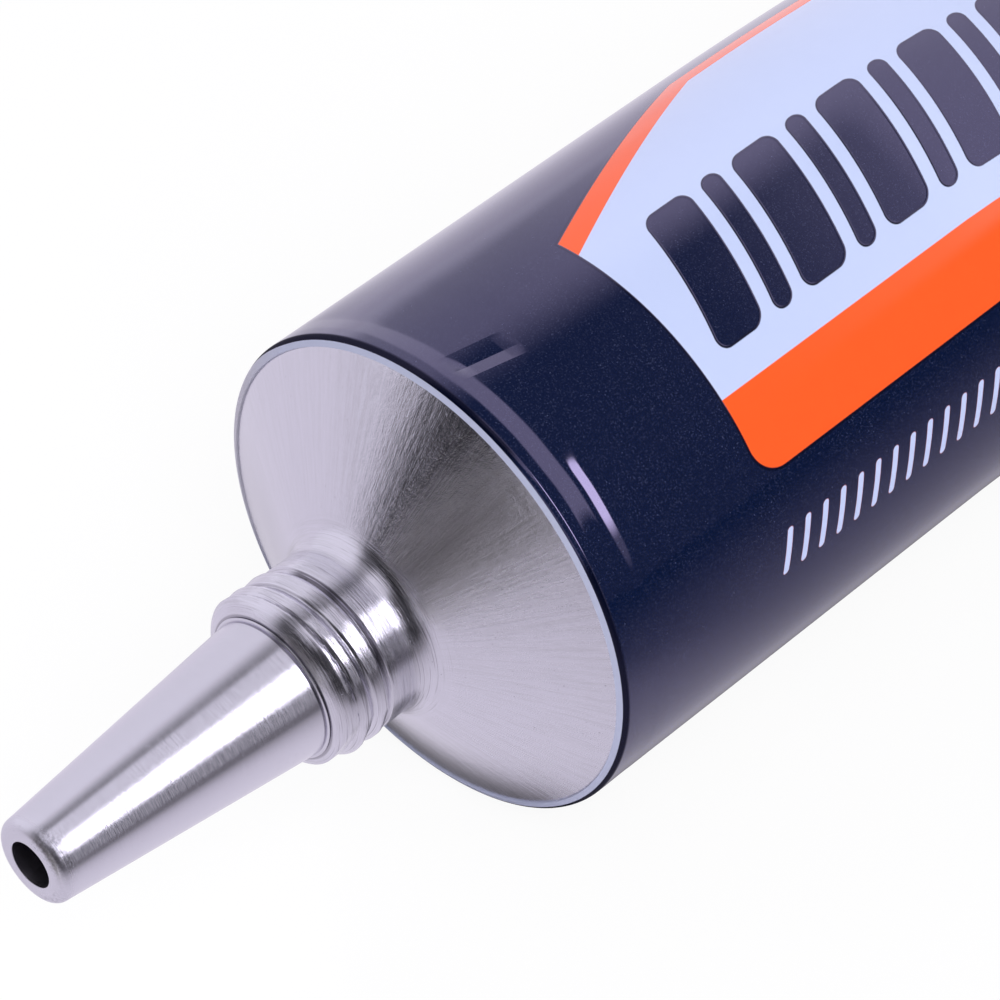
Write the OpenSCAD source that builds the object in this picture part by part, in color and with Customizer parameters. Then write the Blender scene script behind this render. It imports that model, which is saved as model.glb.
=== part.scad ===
// Collapsible aluminium tube of contact cement, lying on its side with its screw cap taken off.
// The tube's axis runs along X with the nozzle towards -X. The floor is z = 0.

/* [Tube body] */
// Outside radius of the printed body
body_r = 16; // [13:0.5:20]
// Length of the body, from the shoulder's rim to the fold
body_l = 140; // [110:1:180]
// Length of the front stretch that is still round
round_l = 35; // [20:1:60]
// How late the back stretch flattens, 1 is a straight wedge
flatten = 1.6; // [1.2:0.1:2.2]
// Thickness of the aluminium wall
wall_t = 0.22; // [0.16:0.02:0.4]
// Thickness of the printed coat on the wall
coat_t = 0.1; // [0.06:0.02:0.2]
// Gap kept between coat, wall and filling
film_gap = 0.05; // [0.05:0.01:0.1]

/* [Fold] */
// Length of the crimped fold behind the body
fold_l = 6; // [4:0.5:10]
// Length of the folded flap that lies on top of the fold
lap_l = 5.2; // [3:0.2:8]
// Length of the sealing band in the flattened end
seal_l = 5; // [3:0.5:9]
// Thickness of the sealing band where the fold pinches it
seal_t = 0.4; // [0.2:0.05:0.8]

/* [Shoulder and neck] */
// Slope of the shoulder, from the plane of the rim
shoulder_angle = 28; // [20:1:36]
// Thickness of the shoulder
shoulder_t = 0.9; // [0.6:0.1:1.4]
// Rounding of the shoulder's rim
rim_round = 0.5; // [0.3:0.1:0.8]
// Length of the head's own wall behind the rim
head_skirt_l = 2; // [1.8:0.2:4]
// Radius of the plain neck
neck_r = 5.3; // [4.9:0.1:5.3]
// Length of the plain neck behind the thread
neck_l = 0.6; // [0.4:0.1:2]
// Fillet between the neck and the shoulder
neck_fillet = 2.6; // [1.5:0.1:4]
// Wall of the neck
neck_wall = 1; // [0.7:0.1:1.4]

/* [Neck thread] */
// Radius over the thread's crests
thread_r = 5.7; // [5.6:0.05:6.2]
// Advance of the thread in one turn
thread_pitch = 1.5; // [1.25:0.05:1.75]
// Turns of thread on the neck
thread_turns = 2; // [1.5:0.25:5]
// Height of the thread
thread_depth = 0.48; // [0.35:0.01:0.6]
// Width of the thread's crest
thread_crest_w = 0.45; // [0.3:0.05:0.6]
// Plain core left at each end of the thread
thread_end = 0.15; // [0.1:0.05:0.5]
// Chamfer at the front end of the threaded neck
thread_chamfer = 0.45; // [0.2:0.05:0.6]

/* [Nozzle] */
// Length of the cone in front of the thread
nozzle_l = 18.3; // [10:0.1:25]
// Radius of the cone at its base
cone_base_r = 4.5; // [4:0.05:4.6]
// Radius of the cone at its tip, before rounding
tip_r = 2.7; // [2.5:0.05:3.2]
// Rounding of the tip's edge
tip_round = 0.6; // [0.3:0.05:0.7]
// Radius of the outlet
bore_r = 1.5; // [1:0.05:1.7]
// Length of the straight outlet behind the tip
bore_l = 6; // [4:0.5:9]
// Wall of the cone at its base
nozzle_wall = 1.1; // [0.8:0.05:1.5]

/* [Cap] */
// Distance from the nozzle's tip to the open end of the cap that was taken off
cap_off = 23; // [20:1:60]
// Wall of the cap's skirt
cap_wall = 1.4; // [1:0.1:2]
// Thickness of the cap's closed end
cap_top_t = 1.6; // [1.2:0.1:2.4]
// Rounding of the cap's closed end
cap_round = 1.2; // [0.5:0.1:1.4]
// Gap left between the closed cap's skirt and the shoulder
skirt_gap = 0.5; // [0.4:0.1:1.5]
// Wall of the sleeve inside the cap that goes over the neck
sleeve_wall = 1.4; // [1:0.1:2]
// Radial room between the thread's crests and the sleeve
sleeve_clear = 0.2; // [0.15:0.05:0.5]
// Number of webs between sleeve and skirt
web_count = 6; // [3:1:10]
// Thickness of a web
web_t = 1.2; // [0.8:0.1:1.6]
// Length of the webs from the closed end
web_l = 14; // [8:1:18]
// Number of grip flutes around the skirt
flute_count = 36; // [24:2:44]
// Radius of a grip flute
flute_r = 1.2; // [0.8:0.1:1.4]
// Depth of a grip flute
flute_depth = 0.5; // [0.3:0.05:0.6]
// Plain band left between the flutes and the closed end
cap_band = 4; // [3:0.5:8]

/* [Cap liner] */
// Thickness of the sealing disc in the cap
liner_t = 1.2; // [0.8:0.1:2]
// Room around and behind the sealing disc
liner_clear = 0.1; // [0.05:0.05:0.3]
// Gap left between the nozzle's tip and the disc of the closed cap
tip_gap = 0.3; // [0.2:0.05:0.6]

/* [Hidden] */

sides = 48;        // corners of a body section
flat_steps = 10;   // sections along the flattening stretch
arc_steps = 6;     // segments of a rounding
turn_steps = 24;   // thread sections in one turn
thread_flank = 30; // slope of the thread's flanks
overlap = 0.2;     // depth by which joined or cut shapes run past each other

// Radii and insets of the layers, from the printed surface inwards
wall_inset = coat_t + film_gap;
fill_inset = wall_inset + wall_t + film_gap;
rim_r = body_r - wall_inset;
fold_t = 2 * fill_inset + seal_t;
lap_t = 2 * (wall_t + coat_t);

// Shoulder line, measured forwards from the rim: t is the distance in front of the rim
shoulder_end_r = rim_r - rim_round * (1 - sin(shoulder_angle));
fillet_r = neck_r + neck_fillet * (1 - sin(shoulder_angle));
fillet_t = (shoulder_end_r - fillet_r) * tan(shoulder_angle);
neck_t = fillet_t + neck_fillet * cos(shoulder_angle);
coat_front = rim_round * cos(shoulder_angle);

// Thread and cone
thread_root_w = thread_crest_w + 2 * thread_depth * tan(thread_flank);
core_r = thread_r - thread_depth;
thread_t = neck_t + neck_l;
thread_l = thread_turns * thread_pitch + thread_root_w + 2 * thread_end;
cone_t = thread_t + thread_l + thread_chamfer;
tip_t = cone_t + nozzle_l;
cone_angle = atan((cone_base_r - tip_r) / nozzle_l);
tip_arc_t = tip_t - tip_round;
tip_arc_r = tip_r + tip_round * tan(cone_angle) - tip_round / cos(cone_angle);

// Inside of the head
inner_end_t = -shoulder_t * cos(shoulder_angle);
inner_end_r = shoulder_end_r - shoulder_t * sin(shoulder_angle);
neck_bore_r = neck_r - neck_wall;
neck_bore_t = inner_end_t + (inner_end_r - neck_bore_r) * tan(shoulder_angle);
skirt_inner_r = rim_r - wall_t;
skirt_inner_t = inner_end_t - (skirt_inner_r - inner_end_r);

// Cap, measured as if it were screwed on
cap_r = body_r;
skirt_r = cap_r - cap_wall;
sleeve_r = thread_r + sleeve_clear;
cap_mouth_t = skirt_gap + max(0, shoulder_end_r - skirt_r) * tan(shoulder_angle);
liner_face_t = tip_t + tip_gap;
cap_inner_t = liner_face_t + liner_t + liner_clear;
cap_end_t = cap_inner_t + cap_top_t;
cap_travel = tip_t + cap_off - cap_mouth_t;

// The part's origin is under the middle of its whole length
front_x = -(cap_end_t + cap_travel);
back_x = body_l + fold_l;
mid_x = (front_x + back_x) / 2;

// Half height of a body section, and the half width that keeps the section's girth
girth_power = ln(2) / ln(PI / 2);
function flat_share(x) = pow((x - round_l) / (body_l - round_l), flatten);
function half_h(x) =
    x <= round_l ? body_r : fold_t / 2 + (body_r - fold_t / 2) * (1 - flat_share(x));
function half_w(h) =
    pow(pow(PI * body_r / 2, girth_power) - pow(h, girth_power), 1 / girth_power);

// A section that rests on the floor, drawn in by the inset
function body_ring(x, inset) =
    let (h = half_h(x), w = half_w(h))
    [for (i = [0 : sides - 1])
        let (a = 360 * i / sides)
        [x, (w - inset) * cos(a), h + (h - inset) * sin(a)]];
function round_ring(x, r) =
    [for (i = [0 : sides - 1])
        let (a = 360 * i / sides)
        [x, r * cos(a), body_r + r * sin(a)]];
function stations(x0, x1) =
    [x0, each [for (k = [0 : flat_steps])
        let (x = round_l + (body_l - seal_l - round_l) * k / flat_steps)
        if (x > x0 + film_gap && x < x1 - film_gap) x], x1];

// Two triangles for each pair of corners, from one ring to the next
function band(from, to, n) =
    [for (i = [0 : n - 1])
        let (j = (i + 1) % n)
        each [[from * n + i, to * n + i, to * n + j], [from * n + i, to * n + j, from * n + j]]];
function flipped(faces) = [for (f = faces) [f[0], f[2], f[1]]];

// Closed solid through a list of rings
module loft(rings) {
    last = len(rings) - 1;
    front = [for (i = [0 : sides - 1]) i];
    back = [for (i = [sides - 1 : -1 : 0]) last * sides + i];
    polyhedron(
        points = [for (ring = rings) each ring],
        faces = [front, back, for (k = [0 : last - 1]) each band(k, k + 1, sides)]);
}

// Open-ended skin of a given thickness, its two sides cut into triangles alike so that skins nest
module skin(x0, x1, inset, thickness) {
    xs = stations(x0, x1);
    n = len(xs);
    rings = concat(
        [for (x = xs) body_ring(x, inset)],
        [for (x = xs) body_ring(x, inset + thickness)]);
    polyhedron(
        points = [for (ring = rings) each ring],
        faces = concat(
            [for (k = [0 : n - 2]) each band(k, k + 1, sides)],
            [for (k = [n : 2 * n - 2]) each flipped(band(k, k + 1, sides))],
            band(n, 0, sides),
            band(n - 1, 2 * n - 1, sides)));
}

module placed() {
    translate([-mid_x, 0, 0]) children();
}

// Turns a shape made along +Z so that it points forwards along the tube's axis
module on_axis() {
    translate([0, 0, body_r]) rotate([0, -90, 0]) children();
}

function arc(t, r, radius, a0, a1) =
    [for (k = [0 : arc_steps])
        let (a = a0 + (a1 - a0) * k / arc_steps)
        [r + radius * sin(a), t + radius * cos(a)]];

module head_section() {
    rim = arc(-coat_front, rim_r - rim_round, rim_round, 90, shoulder_angle);
    fillet = arc(neck_t, neck_r + neck_fillet, -neck_fillet, shoulder_angle, 90);
    tip = arc(tip_arc_t, tip_arc_r, tip_round, 90 - cone_angle, 0);
    polygon(concat(
        [[rim_r, -head_skirt_l]], rim, fillet,
        [[neck_r, thread_t], [core_r, thread_t], [core_r, cone_t - thread_chamfer],
         [core_r - thread_chamfer, cone_t], [cone_base_r, cone_t]],
        tip,
        [[bore_r, tip_t], [bore_r, tip_t - bore_l], [cone_base_r - nozzle_wall, cone_t],
         [neck_bore_r, neck_bore_t], [inner_end_r, inner_end_t],
         [skirt_inner_r, skirt_inner_t], [skirt_inner_r, -head_skirt_l]]));
}

// Right-hand ridge around the core, sunk into it by the overlap
module thread_ridge() {
    steps = round(thread_turns * turn_steps);
    land = thread_crest_w / 2;
    foot = thread_root_w / 2 + overlap * tan(thread_flank);
    section = [[core_r - overlap, foot], [thread_r, land], [thread_r, -land], [core_r - overlap, -foot]];
    m = len(section);
    points = [for (k = [0 : steps])
        let (
            a = 360 * thread_turns * k / steps,
            z = thread_t + thread_end + thread_root_w / 2 + thread_turns * thread_pitch * k / steps
        )
        each [for (p = section) [p[0] * cos(a), p[0] * sin(a), z + p[1]]]];
    front = [for (i = [0 : m - 1]) i];
    back = [for (i = [m - 1 : -1 : 0]) steps * m + i];
    polyhedron(
        points = points,
        faces = [front, back, for (k = [0 : steps - 1]) each band(k, k + 1, m)]);
}

module nozzle_head() {
    color("lightgray") placed() on_axis() {
        rotate_extrude($fn = 96) head_section();
        thread_ridge();
    }
}

module tube_wall() {
    color("silver") placed() skin(head_skirt_l, body_l, wall_inset, wall_t);
}

module enamel_coat() {
    color("midnightblue") placed() skin(coat_front, body_l, 0, coat_t);
}

module crimp_fold() {
    fold_w = 2 * half_w(fold_t / 2);
    edge = fold_t / 2;
    color("midnightblue") placed() translate([body_l, fold_w / 2, 0]) rotate([90, 0, 0])
        linear_extrude(fold_w) {
            square([fold_l - edge, fold_t]);
            translate([fold_l - edge, edge]) circle(edge, $fn = 32);
            translate([fold_l - lap_l, fold_t - overlap]) square([lap_l - edge, lap_t + overlap]);
        }
}

module end_seal() {
    xs = stations(body_l - seal_l, body_l);
    color("ivory") placed() loft([for (x = xs) body_ring(x, fill_inset)]);
}

module adhesive() {
    nose_t = film_gap * cos(shoulder_angle);
    nose_r = film_gap * sin(shoulder_angle);
    xs = stations(-skirt_inner_t + film_gap, body_l - seal_l - film_gap);
    color("goldenrod") placed() loft(concat(
        [round_ring(nose_t - neck_bore_t, neck_bore_r - nose_r),
         round_ring(nose_t - inner_end_t, inner_end_r - nose_r)],
        [for (x = xs) body_ring(x, fill_inset)]));
}

module cap_shell_section() {
    closed_edge = arc(cap_end_t - cap_round, cap_r - cap_round, cap_round, 90, 0);
    polygon(concat(
        [[skirt_r, cap_mouth_t], [cap_r, cap_mouth_t]], closed_edge,
        [[0, cap_end_t], [0, cap_inner_t], [skirt_r, cap_inner_t]]));
}

module cap() {
    web_span = skirt_r - sleeve_r - sleeve_wall / 2 + overlap;
    flute_l = cap_inner_t + cap_top_t - cap_band - cap_mouth_t + overlap;
    color("whitesmoke") placed() translate([-cap_travel, 0, 0]) on_axis() difference() {
        union() {
            rotate_extrude($fn = 96) cap_shell_section();
            translate([0, 0, neck_t])
                cylinder(r = sleeve_r + sleeve_wall, h = cap_inner_t - neck_t + overlap, $fn = 64);
            for (k = [0 : web_count - 1])
                rotate([0, 0, 360 * k / web_count])
                    translate([sleeve_r + sleeve_wall / 2, -web_t / 2, cap_inner_t - web_l])
                        cube([web_span, web_t, web_l + overlap]);
        }
        translate([0, 0, neck_t - overlap])
            cylinder(r = sleeve_r, h = cap_inner_t - neck_t + overlap, $fn = 64);
        for (k = [0 : flute_count - 1])
            rotate([0, 0, 360 * (k + 0.5) / flute_count])
                translate([cap_r + flute_r - flute_depth, 0, cap_mouth_t - overlap])
                    cylinder(r = flute_r, h = flute_l, $fn = 24);
    }
}

module cap_liner() {
    color("gainsboro") placed() translate([-cap_travel, 0, 0]) on_axis()
        translate([0, 0, liner_face_t]) cylinder(r = sleeve_r - liner_clear, h = liner_t, $fn = 64);
}

nozzle_head();
tube_wall();
enamel_coat();
crimp_fold();
end_seal();
adhesive();
cap();
cap_liner();
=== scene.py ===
import math
import bpy
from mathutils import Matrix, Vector, noise


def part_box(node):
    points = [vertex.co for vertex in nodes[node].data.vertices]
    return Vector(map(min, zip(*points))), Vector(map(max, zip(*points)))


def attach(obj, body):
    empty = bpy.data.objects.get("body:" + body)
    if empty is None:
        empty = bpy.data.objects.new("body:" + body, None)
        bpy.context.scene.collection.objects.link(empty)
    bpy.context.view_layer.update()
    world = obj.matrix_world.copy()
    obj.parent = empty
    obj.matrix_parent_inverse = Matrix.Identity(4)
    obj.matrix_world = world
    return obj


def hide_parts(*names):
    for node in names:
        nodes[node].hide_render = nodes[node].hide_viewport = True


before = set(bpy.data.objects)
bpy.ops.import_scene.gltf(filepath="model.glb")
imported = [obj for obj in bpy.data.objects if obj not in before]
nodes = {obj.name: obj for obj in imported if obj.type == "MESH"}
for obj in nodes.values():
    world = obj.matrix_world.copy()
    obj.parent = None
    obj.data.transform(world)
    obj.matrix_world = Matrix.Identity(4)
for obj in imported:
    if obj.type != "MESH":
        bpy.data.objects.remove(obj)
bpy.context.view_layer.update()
print("frame loaded")

mm = 0.001
weldGap = 0.002 * mm                   # corners nearer than this become one
sideShare = 0.48                       # of a side, the most that one rounding takes

# places that every piece is measured from
coatLow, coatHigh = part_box("enamel_coat")
headLow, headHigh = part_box("nozzle_head")
foldLow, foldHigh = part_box("crimp_fold")
capLow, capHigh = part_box("cap")
linerLow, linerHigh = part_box("cap_liner")
bodyR = (coatHigh.z - coatLow.z) / 2
axisZ = bodyR
headSkirt = 2 * mm                     # the head's own wall behind the rim
rimX = headHigh.x - headSkirt          # plane of the shoulder's rim
tipT = rimX - headLow.x                # rim to the tip, forwards


def clearSelection():
    if bpy.context.mode != "OBJECT":
        bpy.ops.object.mode_set(mode="OBJECT")
    bpy.ops.object.select_all(action="DESELECT")


def makeActive(piece):
    clearSelection()
    piece.select_set(True)
    bpy.context.view_layer.objects.active = piece


def smooth(edgeA, edgeB, value):
    share = min(1.0, max(0.0, (value - edgeA) / (edgeB - edgeA)))
    return share * share * (3 - 2 * share)


def window(value, riseFrom, riseTo, fallFrom, fallTo):
    # 1 in the middle and 0 at both ends
    return smooth(riseFrom, riseTo, value) * (1 - smooth(fallFrom, fallTo, value))


def rounded(path, steps):
    # a path of (along, radius, rounding) with its corners rounded, as (along, radius)
    points = []
    for i, (along, radius, rounding) in enumerate(path):
        if rounding == 0 or i in (0, len(path) - 1):
            points.append(Vector((along, radius)))
            continue
        corner = Vector((along, radius))
        back = Vector(path[i - 1][:2]) - corner
        ahead = Vector(path[i + 1][:2]) - corner
        half = back.angle(ahead) / 2
        reach = min(rounding / math.tan(half), sideShare * back.length, sideShare * ahead.length)
        start = corner + back.normalized() * reach
        end = corner + ahead.normalized() * reach
        middle = (back.normalized() + ahead.normalized()).normalized()
        centre = corner + middle * (reach / math.cos(half))
        size = reach * math.tan(half)
        for k in range(steps + 1):
            points.append(centre + (start - centre).slerp(end - centre, k / steps) * size)
    return points


def filled(points, gap):
    # the same path with no step longer than the gap
    dense = [points[0]]
    for a, b in zip(points, points[1:]):
        count = max(1, math.ceil((b - a).length / gap))
        dense.extend(a.lerp(b, k / count) for k in range(1, count + 1))
    return dense


def selectAll():
    bpy.ops.mesh.select_all(action="SELECT")


def leaveEdit():
    # with every face turned outwards
    selectAll()
    bpy.ops.mesh.normals_make_consistent(inside=False)
    bpy.ops.object.mode_set(mode="OBJECT")


def namedPiece(name):
    # the object that was just added, with its place in the mesh itself
    piece = bpy.context.object
    piece.name = name
    piece.data.name = name
    bpy.ops.object.transform_apply(location=True, rotation=True, scale=True)
    return piece


def placed(path, startX):
    # forward of the start in millimetres, and out from the axis
    return [Vector((startX - p.x * mm, 0, axisZ + p.y * mm)) for p in path]


def drawChain(name, places):
    # a single corner that is extruded from place to place
    clearSelection()
    bpy.ops.mesh.primitive_plane_add(size=mm, location=places[0], calc_uvs=False)
    piece = namedPiece(name)
    bpy.ops.object.mode_set(mode="EDIT")
    bpy.ops.mesh.select_mode(type="VERT")
    selectAll()
    bpy.ops.mesh.merge(type="CENTER")
    for a, b in zip(places, places[1:]):
        bpy.ops.mesh.extrude_region_move(TRANSFORM_OT_translate={"value": b - a})
    return piece


def spinRound(steps):
    # turned about the tube's axis and closed
    selectAll()
    bpy.ops.mesh.spin(steps=steps, angle=2 * math.pi, center=(0, 0, axisZ), axis=(1, 0, 0))
    selectAll()
    bpy.ops.mesh.remove_doubles(threshold=weldGap)
    leaveEdit()


def smoothPiece(piece, angle):
    makeActive(piece)
    bpy.ops.object.shade_smooth_by_angle(angle=math.radians(angle))


def applyModifier(piece, kind, **settings):
    makeActive(piece)
    made = piece.modifiers.new(kind.title(), kind)
    for name, value in settings.items():
        setattr(made, name, value)
    bpy.ops.object.modifier_apply(modifier=made.name)


def polar(place):
    # radius from the axis, and the angle from the top towards +Y
    return math.hypot(place.y, place.z - axisZ), math.atan2(place.y, place.z - axisZ)


def putPolar(vertex, radius, angle):
    vertex.co.y = radius * math.sin(angle)
    vertex.co.z = axisZ + radius * math.cos(angle)


class Wire:
    # one socket of a node tree, which does sums
    def __init__(self, tree, socket):
        self.tree = tree
        self.socket = socket

    def node(self, kind, sockets, out=0, **settings):
        made = self.tree.nodes.new(kind)
        for name, value in settings.items():
            setattr(made, name, value)
        for key, value in sockets.items():
            if isinstance(value, Wire):
                self.tree.links.new(value.socket, made.inputs[key])
            else:
                made.inputs[key].default_value = value
        return Wire(self.tree, made.outputs[out])

    def maths(self, operation, *values):
        return self.node("ShaderNodeMath", dict(enumerate(values)), operation=operation)

    def __add__(self, other):
        return self.maths("ADD", self, other)

    def __radd__(self, other):
        return self.maths("ADD", other, self)

    def __sub__(self, other):
        return self.maths("SUBTRACT", self, other)

    def __rsub__(self, other):
        return self.maths("SUBTRACT", other, self)

    def __mul__(self, other):
        return self.maths("MULTIPLY", self, other)

    def __rmul__(self, other):
        return self.maths("MULTIPLY", other, self)

    def __truediv__(self, other):
        return self.maths("DIVIDE", self, other)

    def __abs__(self):
        return self.maths("ABSOLUTE", self)

    def least(self, other):
        return self.maths("MINIMUM", self, other)

    def most(self, other):
        return self.maths("MAXIMUM", self, other)

    def root(self):
        return self.maths("SQRT", self)

    def above(self, edge, soft):
        # 0 under the edge and 1 over it
        ends = {"Value": self, "From Min": edge - soft, "From Max": edge + soft}
        return self.node("ShaderNodeMapRange", ends, interpolation_type="SMOOTHSTEP")

    def below(self, edge, soft):
        return 1 - self.above(edge, soft)

    def between(self, low, high, soft):
        return self.above(low, soft) * self.below(high, soft)

    def blendTo(self, value, share):
        return self + (value - self) * share

    def parts(self):
        split = self.node("ShaderNodeSeparateXYZ", {"Vector": self})
        return [Wire(self.tree, out) for out in split.socket.node.outputs]

    def vector(self, x, y, z):
        return self.node("ShaderNodeCombineXYZ", {"X": x, "Y": y, "Z": z})

    def colours(self, share, first, second):
        return self.node("ShaderNodeMix", {"Factor": share, 6: first, 7: second}, out=2, data_type="RGBA")

    def grain(self, where, scale, detail=2.0, roughness=0.5):
        sockets = {"Vector": where, "Scale": scale, "Detail": detail, "Roughness": roughness}
        return self.node("ShaderNodeTexNoise", sockets)

    def cells(self, where, scale):
        return self.node("ShaderNodeTexVoronoi", {"Vector": where, "Scale": scale})

    def bump(self, height, strength, distance, under=None):
        sockets = {"Height": height, "Strength": strength, "Distance": distance}
        if under is not None:
            sockets["Normal"] = under
        return self.node("ShaderNodeBump", sockets)

    def mixed(self, share, first, second):
        return self.node("ShaderNodeMixShader", {0: share, 1: first, 2: second})


def newMaterial(name, ior, metallic=0.0):
    # a principled material whose fixed values sit on its own sockets
    material = bpy.data.materials.new(name)
    material.use_nodes = True
    tree = material.node_tree
    shader = tree.nodes["Principled BSDF"]
    shader.inputs["IOR"].default_value = ior
    shader.inputs["Metallic"].default_value = metallic
    coords = tree.nodes.new("ShaderNodeTexCoord")
    return material, Wire(tree, coords.outputs["Object"]), Wire(tree, coords.outputs["UV"])


def feed(material, colour, rough, normal, metallic=None):
    shader = material.node_tree.nodes["Principled BSDF"]
    wires = {"Base Color": colour, "Roughness": rough, "Normal": normal}
    if metallic is not None:
        wires["Metallic"] = metallic
    for key, wire in wires.items():
        material.node_tree.links.new(wire.socket, shader.inputs[key])


def dress(piece, material):
    piece.data.materials.clear()
    piece.data.materials.append(material)


headShape = {
    "shoulderSlope": 28,
    "shoulderEndR": 15.585,
    "rimR": 15.85,
    "rimRound": 0.5,
    "skirtRound": 0.03,
    "neckR": 5.5,
    "neckFillet": 2.6,
    "neckEnd": 8.1,          # the plain band behind the thread ends here
    "coreR": 5.22,
    "faceT": 12.18,          # front edge of the collar's face
    "faceR": 4.8,
    "coneT": 12.385,
    "coneR": 4.5,
    "tipR": 2.7,
    "tipRound": 0.6,
    "outletR": 1.5,
    "outletL": 6,
    "outletRound": 0.04,
    "turnSteps": 192,
    # two fine turned lines: forward of the cone's foot, out from it, rounding
    "turnedLines": (
        (0.1, -0.01, 0.03), (0.03, -0.1, 0.02), (-0.01, -0.1, 0.02), (-0.05, 0.09, 0.04),
        (-0.1, 0.17, 0.04), (-0.15, 0.17, 0.03), (-0.17, 0.1, 0.02), (-0.19, 0.1, 0.02),
    ),
    "linesEnd": 0.3,         # forward of the cone's foot
    "faceBack": (0.2, 0.5),  # behind the face, where the core starts and the thread can end
    "bandFront": 0.3,        # forward of the plain band, where the thread can start
    "bandBack": 0.5,
    # hollow inside: forward of the rim, radius, rounding
    "hollow": ((-2, 15.63, 0.03), (-1.262, 15.63, 0.1), (-0.795, 15.162, 0.2), (4.981, 4.3, 0.4)),
    "hollowEnd": (3.4, 0.3),
    # longest steps along the path
    "threadGap": 0.055,
    "lineGap": 0.06,
    "plainGap": 0.9,
}


def headPath(s):
    tip = tipT / mm
    slope = math.tan(math.radians(s["shoulderSlope"]))

    def shoulder(radius):
        return (s["shoulderEndR"] - radius) * slope

    def cone(t):
        return s["coneR"] + (s["tipR"] - s["coneR"]) * (t - s["coneT"]) / (tip - s["coneT"])

    base = s["coneT"]
    start = base + s["linesEnd"]
    outletStart = tip - s["outletL"]
    outlet = rounded([(outletStart, s["outletR"], 0), (tip, s["outletR"], s["outletRound"]),
                      (tip, s["tipR"], s["tipRound"]), (start, cone(start), 0)], 9)
    face = s["faceT"]
    coreStart, threadEnd = (face - back for back in s["faceBack"])
    lines = [(base + off, cone(base) + out, rounding) for off, out, rounding in s["turnedLines"]]
    collar = rounded([
        (start, cone(start), 0), *lines,
        (face, s["faceR"], 0.02), (coreStart, s["coreR"], 0.1), (threadEnd, s["coreR"], 0),
    ], 4)
    band = s["neckEnd"]
    bandFront, bandBack = band + s["bandFront"], band - s["bandBack"]
    thread = [Vector((threadEnd, s["coreR"])), Vector((bandFront, s["coreR"]))]
    rear = rounded([
        (bandFront, s["coreR"], 0),
        (band + 0.16, s["coreR"] + 0.04, 0.04),
        (band - 0.06, s["neckR"] + 0.03, 0.05),
        (bandBack, s["neckR"] + 0.04, 0),
    ], 4)
    neck = rounded([
        (bandBack, s["neckR"] + 0.04, 0),
        (shoulder(s["neckR"]), s["neckR"], s["neckFillet"]),
        (shoulder(s["rimR"]), s["rimR"], s["rimRound"]),
        (-headSkirt / mm, s["rimR"], s["skirtRound"]),
        *s["hollow"],
        (base, *s["hollowEnd"]),
        (outletStart, s["outletR"], 0),
    ], 14)
    whole = filled(outlet, s["plainGap"]) + filled(collar, s["lineGap"])[1:]
    whole += filled(thread, s["threadGap"])[1:] + filled(rear, s["threadGap"])[1:]
    whole += filled(neck, s["plainGap"])[1:]
    return placed(whole, rimX)


threadShape = {
    "height": 0.46,
    "pitch": 1.5,
    "zero": 8.2,             # place of the crest at the top of the neck
    "ridgeFrom": 5,          # degrees along the ridge, from the first top
    "ridgeTo": 970,
    "fadeIn": 45,
    "fadeOut": 150,
    "behindBand": 0.4,       # how far the cutting reaches behind the band's end
    "underFace": 0.05,       # and inside the face's edge
    "frontShare": 0.13,      # of the pitch, taken by the steep front flank
    "rearShare": 0.3,        # of the pitch, taken by the rear flank
    "crestFall": 0.35,       # of the ridge, lost along its worn crest
    "valleyPast": 0.1,       # of the pitch, middle of the valley behind the front flank
    "rootShare": 0.6,        # of the height, left between two worn crests
    "rootDeeper": 0.4,       # less of it on the sides that are hardly worn
    "rootBelow": 0.15,       # less again on the lower side
    "lastTurn": 2,
    # degrees from the top over which the wear changes
    "lastFull": (-115, -75, 110, 170),
    "roundBelow": (-120, -85),
    "unwornAbove": (5, 50),
    "unwornBelow": (-115, -70),
    "uneven": 0.12,
    "unevenSize": 0.9,
    "bandRise": (0.12, 0.55),
    # where the collar's face starts, and how much later beyond some angles
    "faceFrom": 11.25,
    "laterAbove": (0.35, -10, 60),
    "laterBelow": (0.42, -115, -75),
    "faceBend": 0.45,
    "nick": (8.62, 28.0, 0.2, 2.2, 0.13),    # place, angle, reach along, reach in degrees, depth
    "crease": (11.07, 0.0055, 0.1, 0.15),    # place at the top, lean per degree, reach, depth
    "creaseSector": (-80, -40, 70, 110),
}


def ridgeRise(t, degrees, w):
    # 0 in a valley and 1 on a crest that leans forwards, with round ridges on the lower side
    front, rear = w["frontShare"], w["rearShare"]
    turn = (t - w["zero"]) / w["pitch"] - degrees / 360
    crest = math.floor(turn + 1 - front)
    past = turn - crest + 1 - front
    worn = max(0.0, past - rear) / (1 - rear - front)
    rise = smooth(0, rear, past) * (1 - w["crestFall"] * min(1.0, worn))
    rise *= 1 - smooth(1 - front, 1, past)
    waved = 0.5 - 0.5 * math.cos(2 * math.pi * (past - w["valleyPast"]))
    rise += (1 - smooth(*w["roundBelow"], degrees)) * (waved - rise)
    start, end = w["ridgeFrom"], w["ridgeTo"]
    rise *= window(degrees + 360 * crest, start, start + w["fadeIn"], end - w["fadeOut"], end)
    if turn > w["lastTurn"]:
        rise = max(rise, window(degrees, *w["lastFull"]))
    return rise


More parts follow.
